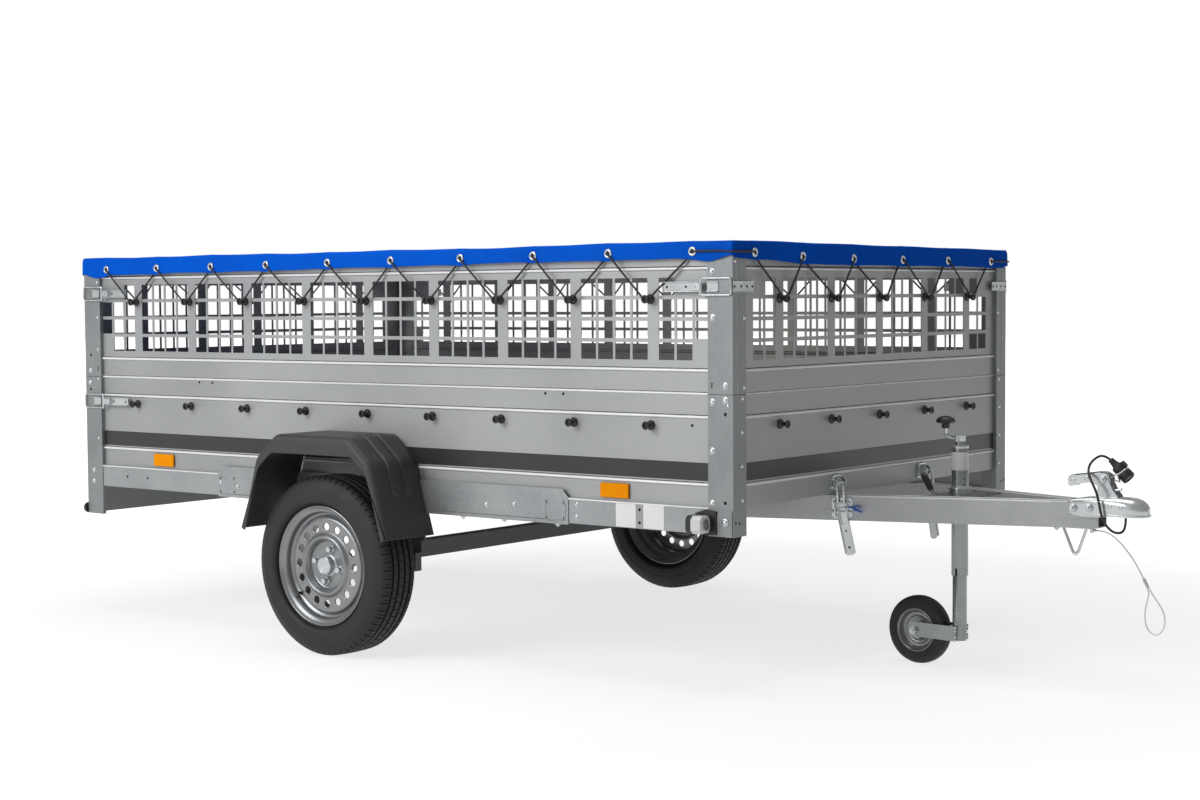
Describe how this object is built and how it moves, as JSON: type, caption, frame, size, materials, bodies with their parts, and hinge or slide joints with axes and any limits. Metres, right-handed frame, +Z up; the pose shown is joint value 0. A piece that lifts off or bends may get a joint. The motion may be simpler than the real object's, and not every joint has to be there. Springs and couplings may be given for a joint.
{
  "type": "utility trailer",
  "caption": "Single-axle tipping utility trailer: a galvanised box with a drop tailgate, mesh sides, a laced flat cover, mudguards, an A-frame drawbar and a jockey wheel.",
  "frame": {"origin": "on the ground below the middle of the trailer's bounding box", "axes": "+X forwards to the coupling, +Y to the trailer's left, +Z up"},
  "size_m": [3.6235, 1.97, 1.2208],
  "materials": {
    "zinc_frame": "dull hot-dip galvanised steel",
    "zinc_sheet": "satin galvanised sheet",
    "zinc_bright": "bright zinc plating",
    "hub_steel": "silver paint",
    "rim_silver": "silver paint",
    "tyre_black": "matt rubber",
    "guard_plastic": "matt moulded plastic",
    "black_plastic": "satin moulded plastic",
    "blue_cover": "coated polyester cloth",
    "black_elastic": "woven elastic cord",
    "lamp_amber": "ribbed amber lens",
    "lamp_red": "ribbed red lens",
    "lamp_clear": "clear lens",
    "plate_white": "blank plate",
    "plywood": "film-faced plywood",
    "cable_black": "cable sheath",
    "wire_steel": "stranded steel wire"
  },
  "bodies": {
    "drawbar": {"arm_right": "zinc_frame", "arm_left": "zinc_frame", "jockey_clamp": "zinc_bright", "jockey_tube": "zinc_bright", "jockey_crank": "zinc_bright", "coupling": "zinc_bright", "coupling_handle": "zinc_bright", "rest_hook": "zinc_bright", "tilt_catches": "zinc_bright", "plug": "black_plastic", "plug_holder": "zinc_bright", "plug_cable": "cable_black", "breakaway_wire": "wire_steel", "breakaway_loop": "wire_steel", "wire_ferrules": "zinc_bright"},
    "box": {"side_rails": "zinc_frame", "axle_plates": "zinc_frame", "corner_posts_lower": "zinc_sheet", "corner_posts_upper": "zinc_sheet", "side_board_right": "zinc_sheet", "side_board_left": "zinc_sheet", "front_board": "zinc_sheet", "tailgate_hinges": "zinc_bright", "rear_panel": "zinc_sheet", "tail_lamps": "lamp_red", "number_plate": "plate_white", "post_buffers": "black_plastic", "floor_battens": "zinc_frame", "floor": "plywood", "mesh_right": "zinc_sheet", "mesh_front": "zinc_sheet", "mesh_left": "zinc_sheet", "mesh_rear": "zinc_sheet", "hooks_upper": "black_plastic", "hooks_lower": "black_plastic", "cover": "blue_cover", "cover_lacing": "black_elastic", "corner_latches": "zinc_bright", "side_reflectors": "lamp_amber", "marker_brackets": "black_plastic", "marker_lamps": "lamp_clear", "tip_shaft": "zinc_frame", "axle": "zinc_frame", "mudguard_right": "guard_plastic", "mudguard_left": "guard_plastic", "catch_brackets": "zinc_bright"},
    "tailgate": {"tailgate": "zinc_sheet", "tailgate_hooks": "black_plastic"},
    "wheel_right": {"tyre_right": "tyre_black", "rim_right": "rim_silver", "hub_right": "hub_steel"},
    "wheel_left": {"tyre_left": "tyre_black", "rim_left": "rim_silver", "hub_left": "hub_steel"},
    "jockey_spindle": {"jockey_nut": "hub_steel"},
    "jockey_fork": {"jockey_leg": "zinc_bright"},
    "jockey_wheel": {"jockey_tyre": "tyre_black", "jockey_rim": "rim_silver"}
  },
  "joints": [
    {"name": "box_tip", "type": "hinge", "parent": "drawbar", "child": "box", "pos_m": [-0.4365, 0, 0.472], "axis": [0, -1, 0], "range_deg": [0, 14]},
    {"name": "tailgate_drop", "type": "hinge", "parent": "box", "child": "tailgate", "pos_m": [-1.7485, 0, 0.52], "axis": [0, -1, 0], "range_deg": [0, 90]},
    {"name": "wheel_spin_right", "type": "hinge", "parent": "box", "child": "wheel_right", "pos_m": [-0.4365, -0.88, 0.2736], "axis": [0, 1, 0], "continuous": true},
    {"name": "wheel_spin_left", "type": "hinge", "parent": "box", "child": "wheel_left", "pos_m": [-0.4365, 0.88, 0.2736], "axis": [0, 1, 0], "continuous": true},
    {"name": "jockey_lift", "type": "slide", "parent": "drawbar", "child": "jockey_spindle", "axis": [0, 0, 1], "range_m": [0, 0.1]},
    {"name": "jockey_swivel", "type": "hinge", "parent": "jockey_spindle", "child": "jockey_fork", "pos_m": [1.2105, 0, 0.1], "axis": [0, 0, 1], "continuous": true},
    {"name": "jockey_roll", "type": "hinge", "parent": "jockey_fork", "child": "jockey_wheel", "pos_m": [1.07592, 0.01059, 0.1], "axis": [0.0785, 0.9969, 0], "continuous": true}
  ]
}
